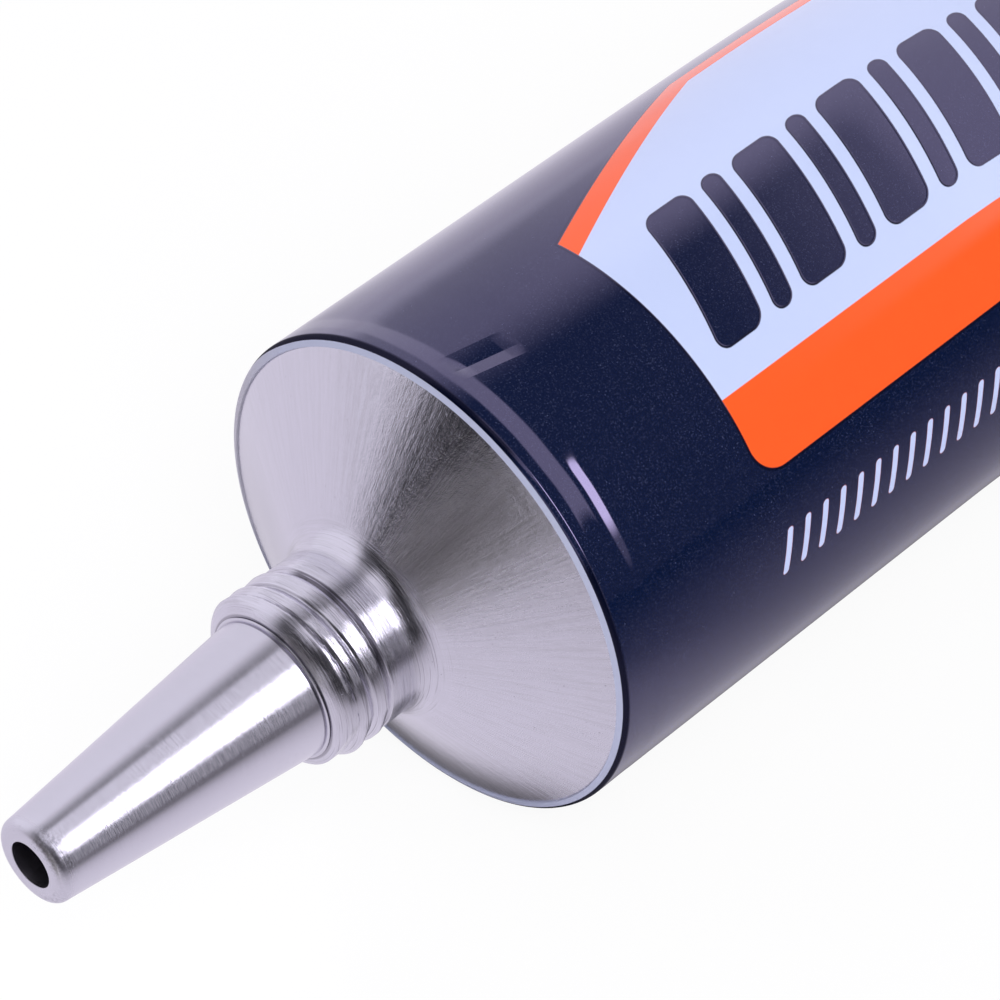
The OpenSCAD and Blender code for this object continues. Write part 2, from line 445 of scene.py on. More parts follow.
def cutThread(piece, s, w):
    # a worn right-hand ridge that the collar's face cuts off
    nickT, nickAngle, nickReach, nickSpan, nickDepth = w["nick"]
    creaseT, creaseLean, creaseReach, creaseDepth = w["crease"]
    later, *laterAt = w["laterAbove"]
    lower, *lowerAt = w["laterBelow"]
    bandFrom, bandTo = (s["neckEnd"] + rise for rise in w["bandRise"])
    crestR = s["coreR"] + w["height"]
    for vertex in piece.data.vertices:
        t = (rimX - vertex.co.x) / mm
        radius, angle = polar(vertex.co)
        radius /= mm
        if not s["neckEnd"] - w["behindBand"] < t < s["faceT"] or radius < s["faceR"] - w["underFace"]:
            continue
        degrees = math.degrees(angle)
        rise = ridgeRise(t, degrees, w)
        rise *= 1 + w["uneven"] * noise.noise(vertex.co / (w["unevenSize"] * mm))
        unworn = max(smooth(*w["unwornAbove"], degrees), 1 - smooth(*w["unwornBelow"], degrees))
        root = w["rootShare"] - w["rootDeeper"] * unworn
        root -= w["rootBelow"] * (1 - smooth(*w["roundBelow"], degrees))
        height = w["height"] * (root + (1 - root) * rise)
        ridge = s["coreR"] + height * smooth(bandFrom, bandTo, t)
        faceFrom = w["faceFrom"] + later * smooth(*laterAt, degrees)
        faceFrom += lower * (1 - smooth(*lowerAt, degrees))
        share = max(0.0, t - faceFrom) / (s["faceT"] - faceFrom)
        fall = (1 - w["faceBend"]) * share + w["faceBend"] * share ** 3
        radius = min(max(radius, ridge), crestR - (crestR - s["faceR"]) * fall)
        away = ((t - nickT) / nickReach) ** 2 + ((degrees - nickAngle) / nickSpan) ** 2
        radius -= nickDepth * math.exp(-away)
        offCrease = (t - creaseT - creaseLean * degrees) / creaseReach
        radius -= creaseDepth * math.exp(-offCrease ** 2) * window(degrees, *w["creaseSector"])
        putPolar(vertex, radius * mm, angle)


nozzleHead = drawChain("nozzleHead", headPath(headShape))
spinRound(headShape["turnSteps"])
cutThread(nozzleHead, headShape, threadShape)
smoothPiece(nozzleHead, 40)
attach(nozzleHead, "tube")
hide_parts("nozzle_head")
print("head turned and threaded")

metalLook = {
    "tint": (0.725, 0.71, 0.79, 1),
    "worn": (0.60, 0.59, 0.64, 1),
    "pits": (0.36, 0.35, 0.38, 1),
    "grimeAndShade": (0.10, 0.09, 0.11, 1),
    "coneRough": 0.19,
    "neckRough": 0.2,
    "shoulderRough": 0.14,
    "mattRough": 0.27,       # on the -Y side of the shoulder
    "tipRough": 0.32,
    "outletRough": 0.32,
    "roughGrain": 0.3,
    "roughBlotch": 0.1,
    "leastRough": 0.05,
    # edges in millimetres with their softness: forward of the rim or the tip, and from the axis
    "neckTo": (12.35, 0.1),
    "tipFrom": (-0.65, 0.2),
    "outletTo": (1.52, 0.015),
    "shoulderFrom": (6.6, 0.9),
    # edges towards the sides, -1 at -Y and 1 at +Y
    "nearSide": (0.22, 0.22),
    "mattSide": (-0.64, 0.14),
    # two turned lines, a groove, a spot and two creases, darkened with painted shade
    "shadeLines": ((12.17, 12.23, 0.02), (12.36, 12.42, 0.02)),
    "shadeGroove": (8.08, 8.34, 0.05),
    "grooveR": (5.5, 0.05),
    "grooveSide": (-0.93, 0.42, 0.12),
    "shadeSpot": (8.47, 3.1, 0.15, 0.3),     # forward, to the side, and its reach in both
    "shadeCreases": ((11.08, 0.0055, 0.09, 0.6), (9.83, 0.00417, 0.1, 0.55)),
    "creaseSector": (-40, 55, 15),
    "smudgeFrom": (-1.0, 0.5),
    "smudgeSide": (-0.9, -0.15, 0.2),
    "smudgeR": (1.9, 0.2),
    "bump": (0.8, 0.06),     # strength, and depth in millimetres
}
metalGrain = {
    # turned: how fast it runs along the profile and across it, detail, roughness
    "lathe": (5, 0.3, 3.0, 0.6),
    "fineLathe": (17, 0.5, 2.0, 0.6),
    "scratch": (7, 0.22, 2.0, 0.55),
    # brushed outwards: how fast it runs around and along the profile, detail, roughness
    "radial": (52, 0.16, 2.0, 0.5),
    "fineRadial": (150, 0.9, 2.0, 0.6),
    # two ways across each other: how fast it runs along and across, seed, detail, roughness
    "crossed": (1.1, 14, 2.0, 2.0, 0.6),
    # even: scale, detail, roughness
    "blotch": (420.0, 3.0, 0.6),
    "patches": (900.0, 4.0, 0.62),
    "grit": (5200.0, 2.0, 0.6),
    "pits": 2600.0,
}


def bareMetal(name, look, grain):
    material, place, _ = newMaterial(name, 1.5, metallic=1.0)
    x, y, z = place.parts()
    forward = (rimX - x) / mm
    pastTip = forward - tipT / mm
    side = y / mm
    up = (z - axisZ) / mm
    radius = (side * side + up * up).root()
    profile = radius - forward                       # runs along the turned profile
    toSide = side / radius
    toTop = up / radius

    def turnedGrain(run, across, detail, roughness):
        return place.grain(place.vector(profile * run, side * across, up * across), 1.0, detail, roughness)

    def brushedGrain(run, along, detail, roughness):
        return place.grain(place.vector(toSide * run, toTop * run, profile * along), 1.0, detail, roughness)

    onNeck = forward.below(*look["neckTo"])
    onTip = pastTip.above(*look["tipFrom"])
    inOutlet = radius.below(*look["outletTo"])
    onShoulder = radius.above(*look["shoulderFrom"])
    lathe = turnedGrain(*grain["lathe"])
    fineLathe = turnedGrain(*grain["fineLathe"])
    scratch = turnedGrain(*grain["scratch"])
    radial = brushedGrain(*grain["radial"])
    fineRadial = brushedGrain(*grain["fineRadial"])
    slow, fast, seed, *fine = grain["crossed"]
    crossed = place.grain(place.vector(side * slow + up * fast, up * slow - side * fast, seed), 1.0, *fine)
    blotch = place.grain(place, *grain["blotch"])
    patches = place.grain(place, *grain["patches"])
    grit = place.grain(place, *grain["grit"])
    pits = place.cells(place, grain["pits"]).below(0.07, 0.03) * blotch.above(0.56, 0.06)

    # finer on the cone than on the neck, brushed on the shoulder, most on its -Y side
    turned = (lathe * 0.12 + fineLathe * 0.88).blendTo(lathe * 0.55 + fineLathe * 0.45, onNeck)
    nearSide = 0.35 + 0.65 * toSide.below(*look["nearSide"])
    brushed = 0.5 + (radial * 0.45 + fineRadial * 0.35 + crossed * 0.2 - 0.5) * nearSide
    brush = turned.blendTo(brushed, onShoulder)
    rough = onNeck * (look["neckRough"] - look["coneRough"]) + look["coneRough"]
    rough = rough.blendTo(look["shoulderRough"], onShoulder).blendTo(look["outletRough"], inOutlet)
    rough = rough.blendTo(look["tipRough"], onTip)
    rough = rough.blendTo(look["mattRough"], onShoulder * toSide.below(*look["mattSide"]))
    rough = rough + (brush - 0.5) * look["roughGrain"] + (blotch - 0.5) * look["roughBlotch"]
    polish = (brush.above(0.46, 0.16) * 0.8 + 0.2).blendTo(0.85, 1 - onNeck)
    colour = place.colours(polish, look["worn"], look["tint"])

    # painted shade in the turned lines, the groove behind the thread, a spot and the creases, with real
    # scratches and a grime smudge on the tip
    firstLine, secondLine = (forward.between(*ends) for ends in look["shadeLines"])
    lines = firstLine.most(secondLine) * 0.6
    groove = forward.between(*look["shadeGroove"]) * radius.below(*look["grooveR"])
    groove = groove * toSide.between(*look["grooveSide"])
    lines = lines.most(groove * (0.35 + 0.65 * scratch.above(0.42, 0.1)))
    scratched = scratch.below(0.36, 0.05) * onNeck * (1 - onShoulder)
    lines = lines.most(scratched * (0.12 + 0.36 * toSide.below(0.3, 0.2)))
    spotT, spotSide, spotReach, spotSpan = look["shadeSpot"]
    offT = (forward - spotT) / spotReach
    offSide = (side - spotSide) / spotSpan
    spot = (offT * offT + offSide * offSide).below(1.0, 0.7) * up.above(2.0, 0.5)
    lines = lines.most(spot * 0.9)
    degrees = side.maths("ARCTAN2", side, up) * (180 / math.pi)
    for startT, lean, reach, share in look["shadeCreases"]:
        offCrease = abs(forward - startT - degrees * lean) / reach
        crease = (1 - offCrease).most(0.0) * degrees.between(*look["creaseSector"])
        lines = lines.most(crease * share)
    smudge = pastTip.above(*look["smudgeFrom"]) * toSide.between(*look["smudgeSide"])
    smudge = smudge * grit.above(0.5, 0.1) * blotch.above(0.44, 0.12) * radius.above(*look["smudgeR"])
    lines = lines.most(smudge * 0.4)
    # the dark colour is real grime in the scratches and the smudge, and painted shade in the lines, the
    # groove, the spot and the creases
    colour = place.colours(lines * 0.85, colour, look["grimeAndShade"])
    # painted shade: the outlet's bore is darkened with the pit colour, while the pits on the shoulder are
    # real
    colour = place.colours((pits * onShoulder * 0.7).most(inOutlet * 0.8), colour, look["pits"])

    streaks = (radial * 0.17 + fineRadial * 0.13) * nearSide
    streaks = streaks + crossed * 0.12 + patches * 0.42 + grit * 0.1
    height = (turned * (0.17 + 0.4 * onNeck)).blendTo(streaks, onShoulder) - pits * 0.4
    strength, depth = look["bump"]
    feed(material, colour, rough.most(look["leastRough"]), place.bump(height, strength, depth * mm))
    return material


wallLook = {**metalLook, "coneRough": 0.3}
dress(nozzleHead, bareMetal("bareAluminium", metalLook, metalGrain))
dress(nodes["tube_wall"], bareMetal("wallAluminium", wallLook, metalGrain))
print("metal dressed")

coatShape = {
    "ringInnerR": 15.42,     # where the pale base coat ends on the shoulder
    "ringOuterR": 15.77,
    "lift": 0.112,           # height over the shoulder
    "edgeRound": 0.38,
    "thickness": 0.1,
    "roundL": 35,
    "flatten": 1.6,
    "foldT": 1.24,
    "around": 288,
    "rollGap": 0.12,
    # longest step between two rings, and where behind the rim it ends
    "ringSteps": ((0.08, 3.6), (0.2, 8.0), (0.5, 14.0), (2.1, 35.0)),
    "lastStep": 2.5,
}
bodyL = coatHigh.x - rimX
grooveShape = {
    "frontFrom": 1.0, "frontTo": 2.15,     # flank that falls towards the groove
    "backFrom": 2.5, "backTo": 3.05,       # steep part of the flank that rises again
    "restTo": 7.5,                         # gentle part
    "corner": 0.1, "restCorner": 0.4,
    "depth": 0.112, "steepShare": 0.62, "ringDepth": 0.012,
    # degrees from the top between which it is deep, and how deep its upper part is
    "sector": (-68, -48, 30, 46), "upper": (-12, 0), "topShare": 0.8,
    "later": (2.2, -36, -27),              # how much later the steep part ends, beyond these degrees
    "ringRipple": 0.8, "ripple": (2.2, 9, 3.1),
    "wander": 0.12, "wanderAt": (11, 7.7, 0.3),
    "soft": 0.012, "softReach": (13, 1.6), "softFrom": (1.0, 6.0), "softTo": (28, 35),
    "edgeFrom": (0.35, 0.9),               # the rolled edge itself stays as it is
}


def halfHeight(x, s):
    flat = s["foldT"] * mm / 2
    if x <= s["roundL"] * mm:
        return bodyR
    share = (x - s["roundL"] * mm) / (bodyL - s["roundL"] * mm)
    return flat + (bodyR - flat) * (1 - share ** s["flatten"])


def halfWidth(height):
    power = math.log(2) / math.log(math.pi / 2)          # keeps the girth
    return ((math.pi * bodyR / 2) ** power - height ** power) ** (1 / power)


def coatRings(s):
    # (x behind the rim, half width, half height) of every ring, in metres
    slope = math.tan(math.radians(headShape["shoulderSlope"]))
    start = (headShape["shoulderEndR"] - s["ringInnerR"]) * slope + s["lift"]
    corner = (headShape["shoulderEndR"] - bodyR / mm) * slope + s["lift"]
    outer = bodyR / mm
    roll = rounded([(start, s["ringInnerR"], 0), (corner, outer, s["edgeRound"]), (-1.0, outer, 0)], 8)
    rings = [(-p.x * mm, p.y * mm, p.y * mm) for p in filled(roll, s["rollGap"])]
    for step, end in (*s["ringSteps"], (s["lastStep"], bodyL / mm)):
        first = rings[-1][0]
        count = max(1, round((end * mm - first) / (step * mm)))
        for k in range(1, count + 1):
            x = first + (end * mm - first) * k / count
            height = halfHeight(x, s)
            rings.append((x, halfWidth(height), height))
    return rings


def drawCoat(name, s):
    rings = coatRings(s)
    clearSelection()
    x, width, height = rings[0]
    bpy.ops.mesh.primitive_circle_add(vertices=s["around"], radius=width, location=(rimX + x, 0, axisZ),
                                      rotation=(0, math.pi / 2, 0), calc_uvs=False)
    piece = namedPiece(name)
    bpy.ops.object.mode_set(mode="EDIT")
    bpy.ops.mesh.select_mode(type="EDGE")
    selectAll()
    for a, b in zip(rings, rings[1:]):
        bpy.ops.mesh.extrude_region_move(TRANSFORM_OT_translate={"value": (b[0] - a[0], 0, 0)})
        floorPoint = (0, 0, axisZ) if b[0] <= s["roundL"] * mm else (0, 0, 0)
        bpy.ops.transform.resize(value=(1, b[1] / a[1], b[2] / a[2]), center_override=floorPoint)
    leaveEdit()
    topFace = max(piece.data.polygons, key=lambda f: f.center.z)
    if topFace.normal.z < 0:
        piece.data.flip_normals()
    return piece


dents = [
    # x, angle, reach along x, reach in degrees, depth
    (6.2, -16.0, 1.3, 3.0, 0.018),
    (9.0, -48.0, 6.0, 12.0, 0.012),
    (7.0, 22.0, 7.0, 10.0, 0.015),
]


def ramp(start, end, corner, value):
    # straight from 0 at the start to 1 at the end, with soft corners
    rise = math.hypot(value - start, corner) - math.hypot(value - end, corner)
    return 0.5 + 0.5 * rise / (end - start)


def handleCoat(piece, s, g):
    # the shallow groove behind the rim, and what handling did to the soft wall
    for vertex in piece.data.vertices:
        x = (vertex.co.x - rimX) / mm
        if x > s["roundL"]:
            continue
        radius, angle = polar(vertex.co)
        degrees = math.degrees(angle)
        rippleX, rippleA, rippleSeed = g["ripple"]
        ripple = noise.noise(Vector((x / rippleX, degrees / rippleA, rippleSeed)))
        sector = window(degrees, *g["sector"])
        sector *= 1 - (1 - g["topShare"]) * smooth(*g["upper"], degrees)
        depth = g["ringDepth"] * (1 + g["ringRipple"] * ripple) + (g["depth"] - g["ringDepth"]) * sector
        wanderA, *wanderSeed = g["wanderAt"]
        place = x + g["wander"] * noise.noise(Vector((degrees / wanderA, *wanderSeed)))
        groove = ramp(g["frontFrom"], g["frontTo"], g["corner"], place)
        later, *laterAt = g["later"]
        backTo = g["backTo"] + later * smooth(*laterAt, degrees)
        groove -= g["steepShare"] * ramp(g["backFrom"], backTo, g["corner"], place)
        groove -= (1 - g["steepShare"]) * ramp(backTo, g["restTo"], g["restCorner"], place)
        sunk = depth * groove
        for dx, da, reachX, reachA, dentDepth in dents:
            sunk += dentDepth * math.exp(-((x - dx) / reachX) ** 2 - ((degrees - da) / reachA) ** 2)
        softX, softR = g["softReach"]
        soft = noise.noise(Vector((x / softX, math.cos(angle) * softR, math.sin(angle) * softR)))
        sunk += g["soft"] * soft * window(x, *g["softFrom"], *g["softTo"])
        sunk *= smooth(*g["edgeFrom"], x)
        putPolar(vertex, radius - max(0.0, sunk) * mm, angle)


def unrollCoat(piece, s):
    # across is the length behind the rim, up is the angle around the section
    layer = piece.data.uv_layers.new(name="unrolled")
    turned = []
    for vertex in piece.data.vertices:
        x = vertex.co.x - rimX
        height = halfHeight(x, s)
        width = halfWidth(height)
        angle = math.atan2(vertex.co.y / width, (vertex.co.z - height) / height)
        turned.append(angle / (2 * math.pi) + 0.5)
    for face in piece.data.polygons:
        shares = [turned[v] for v in face.vertices]
        across = max(shares) - min(shares) > 0.5
        for loop, vertex in zip(face.loop_indices, face.vertices):
            share = turned[vertex]
            if across and share < 0.5:
                share += 1
            layer.data[loop].uv = ((piece.data.vertices[vertex].co.x - rimX) / bodyL, share)


enamelCoat = drawCoat("enamelCoat", coatShape)
handleCoat(enamelCoat, coatShape, grooveShape)
unrollCoat(enamelCoat, coatShape)
applyModifier(enamelCoat, "SOLIDIFY", thickness=coatShape["thickness"] * mm, offset=-1)
smoothPiece(enamelCoat, 50)
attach(enamelCoat, "tube")
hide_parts("enamel_coat")
print("coat drawn and unrolled")

inkColours = {
    "navy": (0.0030, 0.0080, 0.034, 1),
    "navySpeck": (0.10, 0.115, 0.20, 1),
    "navyLustre": (0.74, 0.65, 1.0, 1),
    "keyline": (0.0015, 0.002, 0.008, 1),
    "pale": (0.56, 0.645, 0.89, 1),
    "paleMottle": (0.50, 0.59, 0.84, 1),
    "orange": (0.97, 0.118, 0.022, 1),
    "orangeMottle": (0.90, 0.095, 0.018, 1),
    "base": (0.435, 0.465, 0.61, 1),
    "baseShadeFar": (0.44, 0.43, 0.50, 1),
    "metal": (0.70, 0.69, 0.74, 1),
    "metalDark": (0.42, 0.41, 0.45, 1),
}
printLayout = {
    # millimetres behind the rim, and along the girth from the top line
    "front": 13.4, "back": 118.0,
    "low": -17.0, "bandTop": -11.7,
    "high": 10.4, "corner": 2.0,
    "cutX": 13.5, "cutS": 2.2, "cutAngle": 24.8,
    "stripeW": 1.5,
    "edge": 0.035, "rowEdge": 0.02,
    # wide and narrow bars: half width and rounding
    "barLow": -9.5, "barHigh": -0.1, "barStart": 18.5, "barPitch": 7.4, "barLean": 0.3,
    "wideBar": (1.85, 0.9), "narrowBar": (0.75, 0.7),
    "rowFrom": 16.1, "rowTo": 112.0,
    "tickLow": -23.6, "tickHigh": -20.7, "tickStart": 14.0, "tickPitch": 1.55, "tickLean": 0.3,
    "tick": (0.24, 0.22), "tickFrom": 13.5,
    # thin dark line: how far outside the panel its middle is, half width, softness
    "keyline": (0.06, 0.09, 0.04), "barKeyline": (0.07, 0.04),
    # base coat on the shoulder: softness, how much wider on the far side, and the share of the length
    "ringEdge": 0.025, "ringFar": 0.22, "farSide": (0.8, 0.15), "ringReach": (0.01, 0.001),
    # painted shade at the rim: reach and softness of the matt dark band, reach and softness of the dark
    # edge by the base coat, and the sector without the band
    "rimShadeBand": (0.3, 0.1), "ringEdgeShade": (6, 1), "rimShadeGap": (-14.5, -7.5, 0.9),
}
# scale, detail, roughness, or the scale alone
inkGrain = {
    "speckle": (9500.0, 1.0, 0.6),
    "cloud": (160.0, 2.0, 0.5),
    "mottle": (700.0, 2.0, 0.6),
    "peel": (1500.0, 2.0, 0.5),
    "flakes": 3200.0,
    "flakePatches": 900.0,
}
pressedLine = {
    "startX": 2.3, "startS": -1.3, "endX": 5.4, "lean": -0.215,
    "above": 1.4, "below": 0.75, "slope": 0.13, "softX": 0.6, "earlier": 0.4,
}


def barRow(across, up, start, pitch, low, high, half, corner):
    # distance into the nearest of a row of rounded bars
    outX = (across.maths("PINGPONG", across - start, pitch / 2) - (half - corner)).most(0.0)
    outY = (abs(up - (low + high) / 2) - ((high - low) / 2 - corner)).most(0.0)
    return corner - (outX * outX + outY * outY).root()


def panelOutline(x, s, p):
    # distance into the panel, and from its top edge and cut corner
    fromFront = (p["corner"] - (x - p["front"])).most(0.0)
    fromLow = (p["corner"] - (s - p["low"])).most(0.0)
    inside = p["corner"] - (fromFront * fromFront + fromLow * fromLow).root()
    lean = math.radians(p["cutAngle"])
    fromCut = (x - p["cutX"]) * math.sin(lean) - (s - p["cutS"]) * math.cos(lean)
    fromTop = (p["high"] - s).least(fromCut)
    return inside.least(fromTop).least(p["back"] - x), fromTop


def pressedHeight(x, s, press):
    # a short line pressed into the wall, which runs back from the groove's upper end
    off = s - press["startS"] - (x - press["startX"]) * press["lean"]
    upper = off.most(0.0).least(press["above"]) - press["above"]
    lower = (0 - off).most(0.0).least(press["below"]) * (press["above"] / press["below"])
    there = x.between(press["startX"] - press["earlier"], press["endX"], press["softX"])
    return (upper + lower) * press["slope"] * there


def printedEnamel(colours, p, grain, press):
    material, place, unrolled = newMaterial("printedEnamel", 1.52)
    u, v, _ = unrolled.parts()
    x = u * (bodyL / mm)
    s = (v - 0.5) * (2 * math.pi * bodyR / mm)
    _, sideY, upZ = place.parts()
    radius = ((sideY * sideY) + (upZ - axisZ) * (upZ - axisZ)).root() / mm
    edge, rowEdge = p["edge"], p["rowEdge"]

    inside, fromTop = panelOutline(x, s, p)
    panel = inside.above(0.0, edge)
    stripe = fromTop.below(p["stripeW"], edge).most(s.below(p["bandTop"], edge))

    # row of wide and narrow leaning bars
    pitch, low, high = p["barPitch"], p["barLow"], p["barHigh"]
    across = x - (s - (low + high) / 2) * p["barLean"]
    wide = barRow(across, s, p["barStart"], pitch, low, high, *p["wideBar"])
    narrow = barRow(across, s, p["barStart"] + pitch / 2, pitch, low, high, *p["narrowBar"])
    bars = wide.most(narrow)
    inRow = across.between(p["rowFrom"], p["rowTo"], rowEdge)
    ink = bars.above(0.0, edge) * inRow

    # row of small ticks under the panel
    low, high = p["tickLow"], p["tickHigh"]
    tickAcross = x - (s - (low + high) / 2) * p["tickLean"]
    ticks = barRow(tickAcross, s, p["tickStart"], p["tickPitch"], low, high, *p["tick"])
    tickMask = ticks.above(0.0, edge) * tickAcross.between(p["tickFrom"], p["back"], rowEdge)

    # inks with their specks and mottle
    speckle = place.grain(place, *grain["speckle"]).above(0.62, 0.12)
    cloud = place.grain(place, *grain["cloud"])
    patches = place.grain(place, grain["flakePatches"]).above(0.56, 0.05)
    flakes = place.cells(place, grain["flakes"]).below(0.13, 0.05) * patches
    glint = (speckle * (0.25 + cloud * 0.5) * 0.4 + flakes * 0.4).least(1.0)
    navy = place.colours(glint, colours["navy"], colours["navySpeck"])
    mottle = place.grain(place, *grain["mottle"])
    mottled = mottle.above(0.5, 0.4)
    pale = place.colours(mottled * 0.16, colours["pale"], colours["paleMottle"])
    orange = place.colours(mottled * 0.18, colours["orange"], colours["orangeMottle"])

    # fields of colour, the pale base coat on the shoulder, and painted shade: a dark edge to the base coat
    # and a dark line at the rim
    outside, half, soft = p["keyline"]
    barLine = abs(bars).below(*p["barKeyline"]) * inRow * panel
    keyline = abs(inside + outside).below(half, soft).most(barLine)
    farSide = (sideY / bodyR).above(*p["farSide"])
    ring = (radius - farSide * p["ringFar"]).below(coatShape["ringOuterR"], p["ringEdge"])
    ring = ring * u.below(*p["ringReach"])
    # painted shade: the base coat is greyer and darker on the far +Y side
    base = place.colours(farSide, colours["base"], colours["baseShadeFar"])
    lineTo, lineSoft = (end * mm / bodyL for end in p["rimShadeBand"])
    darkTo, darkSoft = (end * mm / bodyL for end in p["ringEdgeShade"])
    face = place.colours(stripe, pale, orange)
    face = place.colours(tickMask, face, colours["pale"])
    # painted shade: the colour near the rim is dark, which shows as a dark line along the base coat's outer
    # edge
    face = place.colours(u.below(darkTo, darkSoft), face, colours["keyline"])
    face = place.colours(ring, face, base)
    dark = ((1 - panel).most(ink)).most(keyline) * (1 - tickMask) * (1 - ring)
    # painted shade: a matt dark band just behind the rim, except in a sector where a thin highlight falls
    rimShadeLine = u.below(lineTo, lineSoft) * (1 - ring) * (1 - s.between(*p["rimShadeGap"])) * 0.85
    navy = place.colours(keyline * 0.75, navy, colours["keyline"])

    height = (1 - panel) * 0.5 + ink * panel * 0.5 + keyline * 0.5 - tickMask * 0.3
    peel = place.grain(place, *grain["peel"])
    rough = 0.07 + (mottle - 0.5) * 0.05 + ring * 0.25
    normal = place.bump(pressedHeight(x, s, press), 1.0, mm)
    normal = place.bump(height * 0.8 + peel * 0.03, 0.3, 0.03 * mm, normal)
    feed(material, face, rough, normal)

    # the dark ink has a lustre of its own; a matt dark band at the rim is painted shade, left out where a
    # thin highlight falls
    sheen = {"IOR": 2.0, "Specular Tint": colours["navyLustre"]}
    inked = {"Base Color": navy, "Roughness": rough, "Normal": normal, **sheen}
    lustre = place.node("ShaderNodeBsdfPrincipled", inked)
    plain = Wire(material.node_tree, material.node_tree.nodes["Principled BSDF"].outputs[0])
    both = place.mixed(dark, plain, lustre)
    shadeSheet = place.node("ShaderNodeBsdfDiffuse", {"Color": colours["keyline"]})
    both = place.mixed(rimShadeLine, both, shadeSheet)
    material.node_tree.links.new(both.socket, material.node_tree.nodes["Material Output"].inputs["Surface"])
    return material


dress(enamelCoat, printedEnamel(inkColours, printLayout, inkGrain, pressedLine))
print("coat printed")

foldShape = {
    "length": (foldHigh.x - foldLow.x) / mm,
    "thickness": 1.24,
    "flapStart": 0.8,
    "flapBack": 0.12,        # how far the flap stays behind the folded edge
    "flapTop": 1.88,
    "slices": 150,
    "outlineGap": 0.35,
    "toothPitch": 1.7,
    "toothDepth": 0.09,
    "toothReach": (1.3, 1.8, 4.9, 5.4),
    "toothSkin": 0.1,        # what lies deeper than this isn't pressed
    "cutEdge": (0.06, 0.03),
    # how fast the layers of the cut ends and the scuffs run along the three axes
    "layers": (40, 40, 9000),
    "scuffs": (300, 2600, 300),
}


def foldOutline(s):
    length, thick, top, start = s["length"], s["thickness"], s["flapTop"], s["flapStart"]
    flapEnd = length - s["flapBack"]
    path = rounded([
        (0, 0.0, 0), (length, 0.0, 0.55), (length, thick, 0.45), (length - 0.3, thick + 0.02, 0.04),
        (flapEnd, thick + 0.06, 0.05), (flapEnd, top, 0.26), (start, top, 0.24),
        (start, thick + 0.02, 0.05), (start - 0.1, thick, 0.03), (0, thick, 0),
    ], 5)
    dense = filled(path, s["outlineGap"])
    return [Vector((foldLow.x + p.x * mm, foldLow.y, foldLow.z + p.y * mm)) for p in dense]


def crimpTeeth(piece, s):
    for vertex in piece.data.vertices:
        x = (vertex.co.x - foldLow.x) / mm
        z = (vertex.co.z - foldLow.z) / mm
        press = window(x, *s["toothReach"])
        press *= 0.5 + 0.5 * math.sin(vertex.co.y / mm * 2 * math.pi / s["toothPitch"])
        if z > s["flapTop"] - s["toothSkin"]:
            vertex.co.z -= s["toothDepth"] * press * mm
        elif z < s["toothSkin"]:
            vertex.co.z += s["toothDepth"] * press * mm


outline = foldOutline(foldShape)
crimpFold = drawChain("crimpFold", outline + outline[:1])
selectAll()
bpy.ops.mesh.remove_doubles(threshold=weldGap)
bpy.ops.mesh.edge_face_add()
sliceStep = (foldHigh.y - foldLow.y) / foldShape["slices"]
for _ in range(foldShape["slices"]):
    bpy.ops.mesh.extrude_region_move(TRANSFORM_OT_translate={"value": (0, sliceStep, 0)})
leaveEdit()
crimpTeeth(crimpFold, foldShape)
smoothPiece(crimpFold, 40)
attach(crimpFold, "tube")
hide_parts("crimp_fold")
print("fold crimped")


def foldedWall(colours, s):
    # print on the outside, bare metal on the cut ends and where it is scuffed
    material, place, _ = newMaterial("foldedWall", 1.52)
    x, y, z = place.parts()
    inset, soft = s["cutEdge"]
    cut = abs(y).above(foldHigh.y - inset * mm, soft * mm)
    alongLayers = place.vector(*(part * run for part, run in zip((x, y, z), s["layers"])))
    alongScuffs = place.vector(*(part * run for part, run in zip((x, y, z), s["scuffs"])))
    layers = place.grain(alongLayers, 1.0, 2.0).above(0.5, 0.05)
    scuff = place.grain(alongScuffs, 1.0, 3.0, 0.6)
    worn = (scuff.above(0.66, 0.05) * 0.55).most(cut)
    speckle = place.grain(place, 5200.0, 2.0, 0.7).above(0.62, 0.1) * 0.3
    navy = place.colours(speckle, colours["navy"], colours["navySpeck"])
    metal = place.colours(layers, colours["metal"], colours["metalDark"])
    colour = place.colours(worn, navy, metal)
    feed(material, colour, 0.16 + scuff * 0.22, place.bump(scuff, 0.25, 0.03 * mm), worn)
    return material


dress(crimpFold, foldedWall(inkColours, foldShape))

capShape = {
    "wall": 1.4,
    "topT": 1.6,
    "topRound": 1.2,
    "gateR": (0.9, 1.1),     # a small round mark in the middle of the top
    "gateDepth": 0.12,
    "mouthRound": (0.25, 0.35),
    "sleeveMouth": 6.007,
    "sleeveOuterR": 7.3,
    "sleeveInnerR": 5.9,
    "flutes": 36,
    "fluteR": 1.2,
    "fluteDepth": 0.5,
    "fluteSkin": 0.3,        # what lies deeper than this isn't fluted
    "plainBand": 4.0,
    "fluteEnd": (-0.9, 0.4),
    "webs": 6,
    "webInto": 0.5,          # how far a web reaches into the walls beside it
    "webUnder": 0.2,         # and into the top
    "webT": 1.2,
    "webL": 14.0,
    "turnSteps": 360,
    "pathGap": 1.1,
}
capL = (capHigh.x - capLow.x) / mm
capR = (capHigh.z - capLow.z) / 2 / mm


